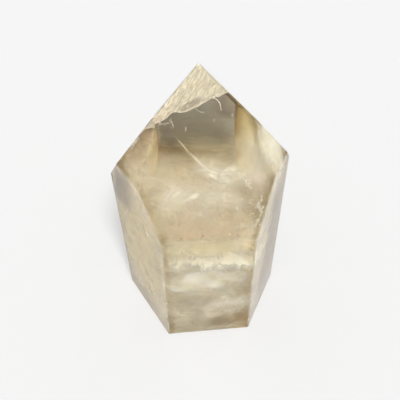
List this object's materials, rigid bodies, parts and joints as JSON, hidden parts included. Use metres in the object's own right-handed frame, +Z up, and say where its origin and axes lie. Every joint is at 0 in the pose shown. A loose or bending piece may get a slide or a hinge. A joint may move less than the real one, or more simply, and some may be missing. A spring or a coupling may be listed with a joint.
{
  "type": "citrine crystal point",
  "caption": "Polished point of clear, pale yellow quartz with a prism body, a sloping facetted tip and a flat base that it stands on.",
  "frame": {"origin": "on the flat base, in the middle of the crystal's width and depth", "axes": "+Z up along the growth axis towards the tip, -Y towards the front, which the widest tip face looks to, +X to the right"},
  "size_m": [0.0536, 0.0486, 0.0895],
  "materials": {
    "citrine": "polished, clear, pale smoky yellow",
    "inclusions": "fine matt white and cream veils, milky clouds, threads and cracks inside the stone"
  },
  "bodies": {
    "root": {"crystal": "citrine"}
  },
  "joints": []
}
